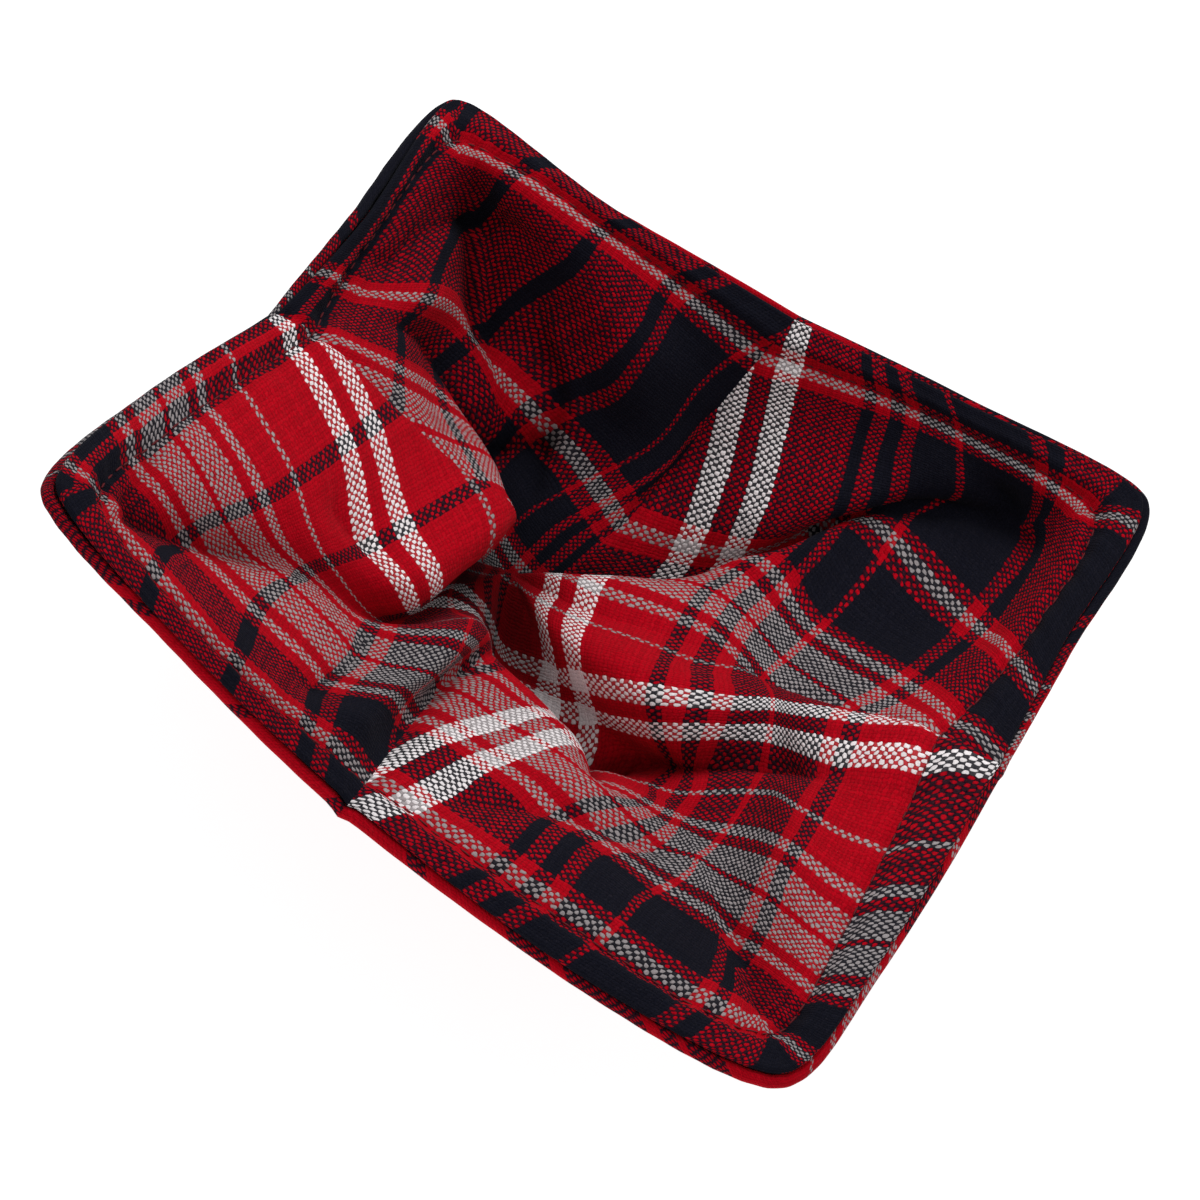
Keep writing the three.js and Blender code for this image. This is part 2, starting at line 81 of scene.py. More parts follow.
# Each dart on the flat cloth, clockwise from the far side: its leg before and after it at the rim, its tip.
darts = {
    "AB": {"before": (-25, 120.5), "after": (26, 120.5), "tip": (3, 55)},
    "BC": {"before": (120.5, 34), "after": (120.5, -27), "tip": (55, 3)},
    "CD": {"before": (26, -120.5), "after": (-34, -120.5), "tip": (-4, -55)},
    "DA": {"before": (-120.5, -27), "after": (-120.5, 40), "tip": (-55, 6)},
}

# The inner panel's upper side, clockwise from the far dart: rim, groove, brow, flank, turn, deep.
sections = {
    "AB": [(2, 89, 62), (1, 84, 56), (-1, 77, 41), (-2, 66, 25), (-5, 43, 14), (-11, 22, 8)],
    "B1": [(43, 91, 68), (43, 88, 64), (35, 80, 52), (27, 61, 36), (14, 48, 13), (-6, 24, 9)],
    "B2": [(88, 90, 76), (81, 84, 70), (69, 82, 56), (43, 74, 42), (24, 49, 29), (-3, 23, 14)],
    "B3": [(90, 47, 67), (84, 50, 62), (72, 49, 49), (46, 41, 36), (22, 35.5, 31), (-5, 17, 29)],
    "BC": [(92, 11, 61), (81, 12, 57), (64, 13, 47), (45, 14, 39), (29, 14, 36), (0, 9, 29)],
    "C3": [(91, -54, 63), (83, -52, 61), (64, -30, 53), (51, -5, 39), (26, -11, 41), (-1, 0, 29)],
    "C2": [(86, -89, 60), (80, -81, 58), (63, -59, 48), (48, -35, 38), (30, -19, 29), (5, -7, 24)],
    "C1": [(44, -95, 57), (40, -88, 58), (26, -66, 54), (18.5, -46, 46), (11.5, -26, 36), (-4, -5, 15)],
    "CD": [(-10, -89, 53), (-10, -82, 52), (-11, -62, 45), (-11, -39, 37), (-8, -19, 31), (-10, -2, 13)],
    "D1": [(-51, -90, 64), (-46, -86, 63), (-35, -73, 56), (-22, -49, 46), (-15, -21, 39), (-16, -2, 21)],
    "D2": [(-88, -85, 75), (-81, -78, 72), (-65, -65, 60), (-45, -46, 48), (-27, -28, 33), (-24, 1, 21)],
    "D3": [(-91, -45, 66), (-83, -45, 66), (-61, -40, 62), (-43, -32, 51), (-26, -18, 38), (-26, 9, 16)],
    "DA": [(-85.5, 5, 56), (-79, 8, 54), (-61, 11, 48), (-40, 17, 37), (-23, 16, 32), (-26, 17, 14)],
    "A3": [(-85, 39, 59), (-82, 38, 54), (-68, 40, 46), (-57, 41, 31), (-34, 33, 26), (-28, 22, 11)],
    "A2": [(-90, 89, 60), (-84, 79, 59), (-69, 76, 46), (-53, 64, 28), (-33, 43, 12), (-24, 23, 8)],
    "A1": [(-46, 86, 62), (-44, 82, 60), (-29, 73, 48), (-18, 64, 28), (-20.5, 41, 12.5), (-18, 21, 7)],
}
sectionMiddle = np.array([-17.0, 14.0, 20.0])

# The folds: the line each follows on the flat cloth, half width, rise at its start and end (a trough, and
# sharp, where negative) and how much higher the cloth lies on the line's left than on its right.
folds = {
    "pinchA": ([(-97, 98), (-66, 67)], 7, (-3, -3), 0),
    "lapA1": ([(-92, 90), (-80, 77), (-67, 63)], 5, (-2, -3), 4),
    "lapA2": ([(-63, 78), (-53, 71), (-45, 66), (-39, 60), (-30, 51)], 5, (-2, -3), 6),
    "creaseA": ([(-52, 43), (-45, 50), (-39, 58)], 5, (-7, -4), 0),
    "faintA": ([(-105, 71), (-97, 80), (-88, 88), (-80, 92)], 4, (-2, -3), 0),
    "brimA": ([(-98, 90), (-108, 48)], 6, (-2, -2), 0),
    "browA1": ([(-80, 100), (-40, 84)], 12, (3, 3), 0),
    "lobeA1": ([(-40, 78), (-12, 70)], 14, (3, 4), 0),
    "creaseA2": ([(-92, 51), (-78, 50), (-62, 46), (-50, 40)], 6, (-3, -6), 0),
    "ridgeA2": ([(-88, 60), (-48, 57)], 6, (2, 2), 0),
    "dimpleD": ([(-78, -35), (-66, -30)], 6, (-3, -3), 0),
    "edgeD": ([(-58, -2), (-52, -28)], 10, (3, 3), 0),
    "pinchD": ([(-100, -100), (-78, -74)], 7, (-4, -4), 0),
    "brimD": ([(-109, -78), (-103, -104)], 6, (-3, -3), 0),
    "pleatD": ([(-26, -64), (-35, -98)], 7, (3, 3), 0),
    "besidePleat": ([(-46, -66), (-48, -92)], 7, (-3, -3), 0),
    "seamD": ([(-30, -108), (-6, -60)], 5, (-4, -5), 0),
    "creaseC1": ([(34, -99), (60, -74)], 7, (-3, -3), 0),
    "ridgeC1": ([(24, -62), (40, -74)], 9, (3, 3), 0),
    "foldC1": ([(22, -36), (32, -50), (40, -64)], 5, (-8, -4), 0),
    "pinchC": ([(106, -104), (90, -84)], 7, (-3, -3), 0),
    "underC3": ([(28, -40), (45, -39), (62, -38), (80, -36), (95, -33)], 5, (-9, -3), 0),
    "ridgeC3": ([(40, -15), (75, -20), (106, -22)], 10, (3, 5), 0),
    "valleyB": ([(24, 33), (35, 43), (44, 50), (51, 61), (66, 76), (82, 86)], 7, (-8, -3), 0),
    "crestB": ([(46, 36), (56, 52), (64, 64)], 7, (3, 2), 0),
    "pinchB": ([(80, 94), (92, 87)], 7, (-3, -3), 0),
    "edgeB1": ([(68, 92), (52, 76)], 8, (2, 2), 0),
    "brimB": ([(92, 82), (98, 62)], 6, (-2, -2), 0),
}


# shaping
def unit(v):
    return v / np.maximum(np.linalg.norm(v, axis=-1, keepdims=True), 1e-9)


def mix(a, b, s):
    return a * (1 - s) + b * s


def hermite(p0, p1, m0, m1, s):
    return ((2 * s**3 - 3 * s**2 + 1) * p0 + (s**3 - 2 * s**2 + s) * m0
            + (3 * s**2 - 2 * s**3) * p1 + (s**3 - s**2) * m1)


def alongKnots(knots, at, first, last, rings):
    # one smooth line through each row of knots, read at every ring
    step = np.diff(at)
    rise = np.diff(knots, axis=1) / step[None, :, None]
    slope = np.empty_like(knots)
    slope[:, 1:-1] = ((rise[:, :-1] * step[1:][None, :, None] + rise[:, 1:] * step[:-1][None, :, None])
                      / (step[:-1] + step[1:])[None, :, None])
    slope[:, 0], slope[:, -1] = first, last
    j = np.clip(np.searchsorted(at, rings, side="left") - 1, 0, len(at) - 2)
    h = step[j][None, :, None]
    s = ((rings - at[j]) / step[j])[None, :, None]
    return hermite(knots[:, j], knots[:, j + 1], slope[:, j] * h, slope[:, j + 1] * h, s)


def columnPlaces(perSection):
    # section i and share s of the way to the next; a little closer together at the corners
    i = np.repeat(np.arange(16), perSection)

    def spaced(s):
        s = np.where(i % 4 == 1, 1 - (1 - s) ** 1.15, s)
        return np.where(i % 4 == 2, s**1.15, s)
    start = np.tile(np.arange(perSection) / perSection, 16)
    return i, spaced(start), spaced(start + 1 / perSection)


def betweenSections(rows, i, s, breaks, rounding):
    # smooth round the bowl, tight at the corners and broken at the dart seams
    tangent = (np.roll(rows, -1, 0) - np.roll(rows, 1, 0)) / 2
    tangent[2::4] *= rounding
    gap = np.roll(rows, -1, 0) - rows
    start, end = tangent.copy(), np.roll(tangent, -1, 0)
    if breaks:
        start[0::4] = 1.5 * gap[0::4] - 0.5 * end[0::4]
        end[3::4] = 1.5 * gap[3::4] - 0.5 * start[3::4]
    s = s.reshape(-1, *[1] * (rows.ndim - 1))
    return hermite(rows[i], rows[(i + 1) % 16], start[i], end[i], s)


def clothEnds():
    # where each section meets rim and foot on the flat cloth: [section, before or after, rim or foot]
    corners = np.array([(1, 1), (1, -1), (-1, -1), (-1, 1)], float)
    legs = [[(d[side], d["tip"]) for side in ("before", "after")] for d in darts.values()]
    ends = np.zeros((16, 2, 2, 2))
    for i in range(16):
        quarter, place = divmod(i, 4)
        corner = np.array([corners[quarter] * cloth["half"], corners[quarter] * cloth["diagonalTurn"]])
        near = np.array(legs[quarter][1] if place == 1 else legs[(quarter + 1) % 4][0], float)
        ends[i] = legs[quarter] if place == 0 else corner if place == 2 else (near + corner) / 2
    return ends


def onCloth(i, s, rings):
    ends, turn = clothEnds(), downTheWall["turn"]
    s = s[:, None]
    rim = mix(ends[i, 1, 0], ends[(i + 1) % 16, 0, 0], s)[:, None]
    foot = mix(ends[i, 1, 1], ends[(i + 1) % 16, 0, 1], s)[:, None]
    v = rings[None, :, None]
    return np.where(v <= turn, mix(rim, foot, v / turn), mix(foot, 0 * foot, (v - turn) / (1 - turn)))


def smoothed(grid, passes, keepLength=True):
    for _ in range(passes):
        up = np.concatenate([grid[:, :1], grid[:, :-1]], 1)
        down = np.concatenate([grid[:, 1:], grid[:, -1:]], 1)
        grid = (2 * grid + np.roll(grid, 1, 0) + np.roll(grid, -1, 0) + up + down) / 6
        if keepLength:
            grid = unit(grid)
    return grid


def gridNormals(grid, middle, passes):
    last = np.broadcast_to(middle, grid[:, :1].shape)
    below = np.concatenate([grid[:, 1:], last], 1)
    above = np.concatenate([grid[:, :1], grid[:, :-1]], 1)
    return smoothed(unit(np.cross(below - above, np.roll(grid, -1, 0) - np.roll(grid, 1, 0))), passes)


def softNoise(points, size, seed):
    # gentle lumps about size mm across, from -1 to 1
    flat = (points / size + seed).reshape(-1, points.shape[-1])
    return np.array([noise.noise(Vector(p)) for p in flat]).reshape(points.shape[:-1])


def rimInset(flat):
    return cloth["half"] - np.abs(flat).max(-1)


# inner panel
innerPanel = {
    "perSection": 28, "rimRings": 16, "wallRings": 62,
    "cornerRound": (0.65, 0.7, 0.25),  # at the rim, in the folds, and where the folds' rounding is reached
    "seamBlend": 0.25,
    "thick": 3.4, "thickAtSeam": 1.5, "seamRun": 0.12, "thinnest": 1.4, "give": 0.7, "pressedLow": 1.7,
    "groove": {"inset": 9.0, "width": 2.2, "depth": 1.5},
    "brim": {"inset": 4.6, "width": 2.6, "rise": 0.7},
    "pucker": {"every": 8.0, "reach": 6.0, "rise": 0.35, "wander": (2.5, 17.0)},
    "dartSeam": {"width": 1.5, "depth": 1.0},
    "lumps": [(26.0, 0.7, 3.1), (11.0, 0.35, 8.4)],  # size, rise and seed
    "lowest": 6.6,
    "passes": {"folds": 14, "face": 40, "padding": 110},  # how far each set of normals is smoothed
    # the padding gives way, step by step, where its back would shrink to less than this share of its face
    "squeeze": {"passes": 90, "closest": 0.35, "step": 0.93, "slope": 0.02},
    "edge": {"turns": (60, 30, 0, -30, -60), "bulge": 0.8},  # degrees round the rolled edge, and mm
}


def foldShift(flat, normals):
    lift = np.zeros(flat.shape[:-1])
    for path, width, rise, step in folds.values():
        points = np.array(path, float)
        lengths = np.linalg.norm(np.diff(points, axis=0), axis=1)
        distance, along, side = np.full(lift.shape, np.inf), 0 * lift, 0 * lift
        for k, length in enumerate(lengths):
            run, reach = points[k + 1] - points[k], flat - points[k]
            s = np.clip(reach @ run / length**2, 0, 1)
            away = np.linalg.norm(reach - s[..., None] * run, axis=-1)
            closer = away < distance
            distance = np.where(closer, away, distance)
            along = np.where(closer, (lengths[:k].sum() + s * length) / lengths.sum(), along)
            side = np.where(closer, run[0] * reach[..., 1] - run[1] * reach[..., 0], side)
        deep = mix(rise[0], rise[1], along)
        lift += deep * (np.exp(-distance / width * 1.3) if rise[0] < 0 else np.exp(-(distance / width) ** 2))
        fade = np.clip(np.minimum(along, 1 - along) / 0.2, 0, 1)
        lift += step / 2 * np.sign(side) * np.tanh(distance / 1.3) * np.exp(-distance / width) * fade
    return normals * lift[..., None]


def innerShape(p):
    i, s, sNext = columnPlaces(p["perSection"])
    rings = np.concatenate([np.linspace(0, 0.1, p["rimRings"]), np.linspace(0.11, 0.965, p["wallRings"])])
    at = np.array(list(downTheWall.values()))
    knots = np.array([row + [tuple(sectionMiddle)] for row in sections.values()], float)
    across = np.roll(knots, 8, 0)[:, -2]
    first = (knots[:, 1] - knots[:, 0]) / (at[1] - at[0])
    last = (across - knots[:, -2]) / (2 * (at[-1] - at[-2]))
    rows = alongKnots(knots, at, first, last, rings)
    atRim, inFolds, reached = p["cornerRound"]
    rounding = mix(atRim, inFolds, np.minimum(1, rings / reached))[None, :, None]
    grid = betweenSections(rows, i, s, True, rounding)
    normals = gridNormals(grid, sectionMiddle, p["passes"]["folds"])
    flat, flatNext = onCloth(i, s, rings), onCloth(i, sNext, rings)

    def shiftFor(flat):
        inset = rimInset(flat)
        g, b, k = p["groove"], p["brim"], p["pucker"]
        alongRim = np.abs(flat).min(-1)
        lift = -g["depth"] * np.exp(-((inset - g["inset"]) / g["width"]) ** 2)
        lift += b["rise"] * np.exp(-((inset - b["inset"]) / b["width"]) ** 2)
        wander = k["wander"][0] * np.sin(alongRim / k["wander"][1])
        lift += (k["rise"] * np.sin(2 * math.pi * (alongRim + wander) / k["every"])
                 * np.exp(-((inset - g["inset"]) / k["reach"]) ** 2))
        return foldShift(flat, normals) + normals * lift[..., None]

    shift = shiftFor(flat)
    seamColumns = np.flatnonzero((i % 4 == 0) & (s == 0))
    fromBefore = shiftFor(onCloth((i - 1) % 16, s * 0 + 1, rings))[seamColumns]
    atSeam = (shift[seamColumns] + fromBefore) / 2
    after = np.where(i % 4 == 0, np.maximum(0, 1 - s / p["seamBlend"]), 0)[:, None, None] ** 2
    before = np.where(i % 4 == 3, np.maximum(0, 1 - (1 - s) / p["seamBlend"]), 0)[:, None, None] ** 2
    shift = mix(shift, atSeam[(i // 4) % 4], after)
    shift = mix(shift, atSeam[(i // 4 + 1) % 4], before)
    face = grid + shift
    pressed = np.maximum(0, -(shift * normals).sum(-1))
    # the dart seams pull the cloth in along a narrow line that fades out at the tip
    seamAt = {k: face[seamColumns[k]] for k in range(4)}
    for quarter in range(4):
        away = np.linalg.norm(face - seamAt[quarter][None], axis=-1)
        fade = np.clip((downTheWall["turn"] - rings) / 0.2, 0, 1)
        side = ((i // 4 == quarter) & (i % 4 == 0)) | ((i // 4 == (quarter - 1) % 4) & (i % 4 == 3))
        pull = p["dartSeam"]["depth"] * np.exp(-(away / p["dartSeam"]["width"]) ** 2) * fade
        face = face - normals * (pull * side[:, None])[..., None]
    for size, rise, seed in p["lumps"]:
        quiet = np.clip(rimInset(flat) / 10, 0.15, 1)
        face = face + normals * (softNoise(face, size, seed) * rise * quiet)[..., None]
    # nothing sinks into the outer panel's foot
    face[..., 2] = (face[..., 2] + p["lowest"] + np.hypot(face[..., 2] - p["lowest"], 0.8)) / 2
    middle = sectionMiddle + foldShift(np.zeros((1, 2)), np.array([[0.0, 0.0, 1.0]]))[0]
    return {"i": i, "s": s, "sNext": sNext, "rings": rings, "face": face, "middle": middle, "flat": flat,
            "flatNext": flatNext, "pressed": pressed,
            "normals": gridNormals(face, middle, p["passes"]["face"])}


def squeezedBack(face, normals, thick, thinnest, p):
    # the padding is squeezed where the cloth turns too tightly for its full thickness
    for _ in range(p["passes"]):
        back = face - normals * thick[..., None]
        tight = np.zeros(thick.shape, bool)
        for axis in (0, 1):
            edge, other = np.roll(face, -1, axis) - face, np.roll(back, -1, axis) - back
            close = (edge * other).sum(-1) < p["closest"] * (edge**2).sum(-1)
            if axis == 1:
                close[:, -1] = False
            tight |= close | np.roll(close, 1, axis)
        thick = np.where(tight, np.maximum(thinnest, thick * p["step"]), thick)
        thick = np.minimum(thick, smoothed(thick[..., None], 1, False)[..., 0] + p["slope"])
    return face - normals * thick[..., None]


def sheetMesh(name, face, back, middles, edges, flats, nextFlats, edgeRings):
    # a closed sheet: its face, its back, and the rolled edge that joins them round the rim
    columns, rings = face.shape[:2]
    strips = [face[:, ::-1], *[e[:, None] for e in edges], back]
    grid = np.concatenate(strips, 1)  # from the face's middle out over the rim and in again
    deep = grid.shape[1]
    points = np.concatenate([grid.reshape(-1, 3), np.array(middles)])
    index = np.arange(columns * deep).reshape(columns, deep)
    after = np.roll(index, -1, 0)
    quads = np.stack([index[:, :-1], after[:, :-1], after[:, 1:], index[:, 1:]], -1).reshape(-1, 4)
    faceFan = np.stack([index[:, 0], np.full(columns, columns * deep), after[:, 0]], -1)
    backFan = np.stack([index[:, -1], after[:, -1], np.full(columns, columns * deep + 1)], -1)
    mesh = bpy.data.meshes.new(name)
    mesh.from_pydata((points + shapeShift) * mm, [], quads.tolist() + faceFan.tolist() + backFan.tolist())
    here = np.concatenate([flats[:, ::-1], edgeRings[0], flats], 1)
    there = np.concatenate([nextFlats[:, ::-1], edgeRings[1], nextFlats], 1)
    quadPlaces = np.stack([here[:, :-1], there[:, :-1], there[:, 1:], here[:, 1:]], 2).reshape(-1, 2)
    zero = np.zeros((columns, 2))
    faceFanPlaces = np.stack([here[:, 0], zero, there[:, 0]], 1).reshape(-1, 2)
    backFanPlaces = np.stack([here[:, -1], there[:, -1], zero], 1).reshape(-1, 2)
    layer = mesh.uv_layers.new(name="Cloth")
    places = np.concatenate([quadPlaces, faceFanPlaces, backFanPlaces])
    layer.uv.foreach_set("vector", places.astype(np.float32).ravel())
    mesh.shade_smooth()
    piece = bpy.data.objects.new(name, mesh)
    bpy.context.scene.collection.objects.link(piece)
    return piece


inner = innerShape(innerPanel)
share = np.minimum(1, inner["rings"] / innerPanel["seamRun"])
innerThick = mix(innerPanel["thickAtSeam"], innerPanel["thick"], share * share * (3 - 2 * share))
innerThick -= innerPanel["pressedLow"] * np.clip((inner["rings"] - downTheWall["turn"]) / 0.1, 0, 1)
innerThick = np.maximum(innerPanel["thinnest"], innerThick[None] - innerPanel["give"] * inner["pressed"])
paddingNormals = gridNormals(inner["face"], inner["middle"], innerPanel["passes"]["padding"])
innerBack = squeezedBack(inner["face"], paddingNormals, innerThick, innerPanel["thinnest"],
                         innerPanel["squeeze"])
rimMiddle = (inner["face"][:, 0] + innerBack[:, 0]) / 2
outwards = unit(inner["face"][:, 0] - inner["face"][:, 2])
halfEdge = (inner["face"][:, 0] - innerBack[:, 0]) / 2
turns = [math.radians(a) for a in innerPanel["edge"]["turns"]]
innerEdges = [rimMiddle + halfEdge * math.sin(t) + outwards * innerPanel["edge"]["bulge"] * math.cos(t)
              for t in turns]
shareLength = 75  # about how many mm of cloth past the rim count as one share of the wall
edgeSteps = -np.array([0.3, 0.8, 1.3, 1.8, 2.1]) / shareLength
innerPiece = sheetMesh(
    "innerPanel", inner["face"], innerBack,
    [inner["middle"], inner["middle"] + (innerBack - inner["face"])[:, -1].mean(0)], innerEdges,
    inner["flat"], inner["flatNext"],
    [onCloth(inner["i"], inner[k], edgeSteps) for k in ("s", "sNext")])

# Painted shade: the cloth's colour is darkened in the creases and down in the middle, where little light
# gets in.
paintedShadeLimits = {"crease": (1.2, 7.0), "below": (33.0, 19.0), "inside": (0.6, 0.84)}  # mm, mm, share of the wall


def paintedShadeAmount(p):
    def between(value, limits):
        share = np.clip((value - limits[0]) / (limits[1] - limits[0]), 0, 1)
        return share * share * (3 - 2 * share)
    deep = between(inner["face"][..., 2], p["below"]) * between(inner["rings"], p["inside"])[None]
    return np.maximum(between(inner["pressed"], p["crease"]), deep)


# how much painted shade each point of the inner panel's face gets, kept on the mesh as a vertex attribute
paintedShade = paintedShadeAmount(paintedShadeLimits)
unseen = len(innerPiece.data.vertices) - paintedShade.size - 2
perVertex = np.concatenate([paintedShade[:, ::-1], np.zeros((len(paintedShade), unseen // len(paintedShade)))], 1).ravel()
paintedShadeLayer = innerPiece.data.attributes.new("PaintedCreaseShade", "FLOAT", "POINT")
paintedShadeLayer.data.foreach_set("value", np.append(perVertex, (paintedShade[:, -1].mean(), 0.0)).astype(np.float32))
print("inner panel made,", len(innerPiece.data.polygons), "faces")

# outer panel
outerPanel = {
    "rings": 46, "thick": 2.3, "bead": (1.9, 1.5), "between": 0.5,
    "at": {"rim": 0, "shoulder": 0.2, "belly": 0.42, "foot": 0.7, "middle": 1},
    "middle": (-2, 7, 1.15), "bellied": (2, 2, 1),  # mm that the wall swells between a dart and a corner
    "beadTurns": (70, 45, 20, 0, -20, -45, -70),  # degrees round the rolled edge
    "sections": {  # shoulder, belly, foot
        "AB": [(0, 86, 38), (-1, 75, 17), (-2, 50, 1.15)],
        "B2": [(82, 88, 50), (67, 73, 20), (38, 46, 1.15)],
        "BC": [(84, 10, 37), (66, 9, 15), (40, 8, 1.15)],
        "C2": [(78, -67, 38), (60, -46, 15), (36, -26, 1.15)],
        "CD": [(-8, -69, 34), (-6, -52, 14), (-4, -34, 1.15)],
        "D2": [(-77, -62, 50), (-60, -38, 20), (-36, -20, 1.15)],
        "DA": [(-81, 5, 36), (-66, 5, 15), (-44, 6, 1.15)],
        "A2": [(-83, 83, 40), (-67, 68, 16), (-40, 44, 1.15)],
    },
    # how far the rolled edge stands above the inner panel's, at the same eight places
    "stand": (0.6, 0.6, 0.6, 0.8, 0.8, 1.2, 0.4, 1.0),
    "clothTurn": (0.05, -0.02),  # this panel was cut a little off the thread
}


def outerShape(p, inner):
    i, s = inner["i"], inner["s"]
    at = np.array(list(p["at"].values()))
    named = np.array(list(p["sections"].values()), float)
    knots = np.zeros((16, 3, 3))
    knots[0::2] = named
    half = (named + np.roll(named, -1, 0)) / 2
    out = unit(half * np.array([1, 1, 0]))
    knots[1::2] = half + out * np.array(p["bellied"])[None, :, None]
    atRim, inFolds, reached = innerPanel["cornerRound"]
    columns = betweenSections(knots, i, s, False, mix(atRim, inFolds, p["at"]["shoulder"] / reached))
    face, normals = inner["face"], inner["normals"]
    lift = unit(face[:, 0] - face[:, 4])
    stand = np.interp(i + s, np.arange(0, 17, 2), (*p["stand"], p["stand"][0]))[:, None]
    rim = (face[:, 0] - normals[:, 0] * (innerPanel["thickAtSeam"] + p["between"] + p["thick"] / 2)
           + lift * stand)
    middle = np.array(p["middle"], float)
    knots = np.concatenate([rim[:, None], columns, np.broadcast_to(middle, (len(i), 1, 3))], 1)
    rings = np.concatenate([np.linspace(0, 0.7, p["rings"] - 6), np.linspace(0.74, 0.95, 6)])
    first = (knots[:, 1] - knots[:, 0]) / (at[1] - at[0])
    last = (knots[:, 4] - knots[:, 3]) / (at[4] - at[3])
    grid = alongKnots(knots, at, first, last, rings)
    flatFoot = rings >= p["at"]["foot"] - 1e-6
    grid[..., 2] = np.where(flatFoot, middle[2], np.maximum(grid[..., 2], middle[2]))
    normals = gridNormals(grid, middle, 20)
    normals[:, flatFoot] = (0, 0, 1)
    half = p["thick"] / 2
    back = grid - normals * half
    back[..., 2] = np.maximum(0, back[..., 2])
    up, side = unit(grid[:, 0] - grid[:, 2]), normals[:, 0]
    edges = [grid[:, 0] + up * p["bead"][0] * math.cos(t) + side * p["bead"][1] * math.sin(t)
             for t in (math.radians(a) for a in p["beadTurns"])]
    return {"face": grid + normals * half, "back": back, "edges": edges, "middle": middle, "rings": rings}


outer = outerShape(outerPanel, inner)
beadSteps = np.linspace(-4.2, -0.6, 7) / shareLength


def outerCloth(s, rings):
    flat = onCloth(inner["i"], s, rings)
    return flat + flat[..., ::-1] * outerPanel["clothTurn"]


footHalf = (0, 0, outerPanel["thick"] / 2)
outerPiece = sheetMesh(
    "outerPanel", outer["face"], outer["back"],
    [outer["middle"] + footHalf, outer["middle"] - footHalf], outer["edges"],
    outerCloth(inner["s"], outer["rings"]), outerCloth(inner["sNext"], outer["rings"]),
    [outerCloth(inner[k], beadSteps) for k in ("s", "sNext")])
print("outer panel made,", len(outerPiece.data.polygons), "faces")

# materials
# Brushed cotton plaid, plain weave, coarse uneven yarn: every thread crossing shows as a short oval float,
# two yarns of different colours give a pepper of dots, and the brushed surface has a soft pale haze.
plaid = {
    "warpPitch": 0.93, "weftPitch": 0.79,  # mm from thread to thread
    "warpAtZero": 161 - 26 / 0.93, "weftAtZero": 152.0,  # the thread that lies in the middle of the cloth
    # the weaver's chart: colour letter and number of threads
    "warp": "n6 r3 n6 r20 n4 r20 n4 r18 n4 r4 n18 r2 n10 r4 n4 r4 n3 r16 w6 r5 w6 r16 n3 r4 n4 r4 n10 r2"
            " n19 r4 n4 r16 n6",
    "weft": "n8 r4 g4 r4 n18 r4 g4 r4 g11 r2 g10 r4 g4 r11 g2 r18 w6 r5 w6 r18 g2 r11 g4 r4 g10 r2 g11"
            " r4 g4 r4 n19 r4 g4 r4 n50 r4 g4 r4 n8",
    # colour and thickness; next to a thick yarn a thin one shows as smaller dots
    "yarns": {"r": ("#B20116", 0.8), "n": ("#12131D", 1.04), "g": ("#A19A9B", 0.93), "w": ("#F4EEEF", 1.1)},
    "rampThreads": 100,  # a ramp keeps threads apart up to about this many
    "wander": (14.0, 0.45), "shiver": (1.3, 0.42),  # the weave's unevenness: size in mm, reach in threads
    "arch": 0.5, "roundness": 0.6,
    # soft edges of a float, how ragged they are, and how much the other yarn shows
    "blur": 0.13, "fray": 0.85, "fuzz": 0.02,
    "slub": (0.5, 1.75),  # how much one thread's thickness differs from the next, and the thinnest
    "fibre": (3.2, 3.0, 0.65), "fibreShade": (0.7, 0.65),  # fine fibres per mm, and their light and dark
    "threadShade": (0.22, 0.89),  # how much one thread's dye differs from the next, and the darkest
    "uneven": 0.45,  # how much one float differs from the next
    "nap": (0.0, 0.1), "napFibre": 0.33,  # brushed haze: how far it mixes the yarns, least and most; mm
    "gap": (0.28, 0.82, 0.72),  # thread height where a gap ends, where its shadow ends, and how dark it is
    "bumpHeight": 0.28,  # mm
    "lint": ("#C8B4B8", 0.035), "speck": (2.2, 4.0, 0.75, 2.5),  # loose fibre, how much shows, its grain
    "paintedShadeStrength": 0.72,  # how much the painted shade darkens the cloth deep in a fold
    "padding": (7.0, 0.3),  # size and height in mm of the padding's softness under the cloth
}


def toLinear(hexColour):
    value = [int(hexColour[k:k + 2], 16) / 255 for k in (1, 3, 5)]
    return tuple(c / 12.92 if c <= 0.04045 else ((c + 0.055) / 1.055) ** 2.4 for c in value) + (1.0,)


def addNode(tree, kind, settings=None, **inputs):
    # inputs are values or sockets, by the socket's name or, as _0, _1, by its number
    node = tree.nodes.new(kind)
    for key, value in (settings or {}).items():
        setattr(node, key, value)
    for key, value in inputs.items():
        socket = node.inputs[int(key[1:])] if key.startswith("_") else node.inputs[key]
        if isinstance(value, bpy.types.NodeSocket):
            tree.links.new(value, socket)
        else:
            socket.default_value = value
    return node


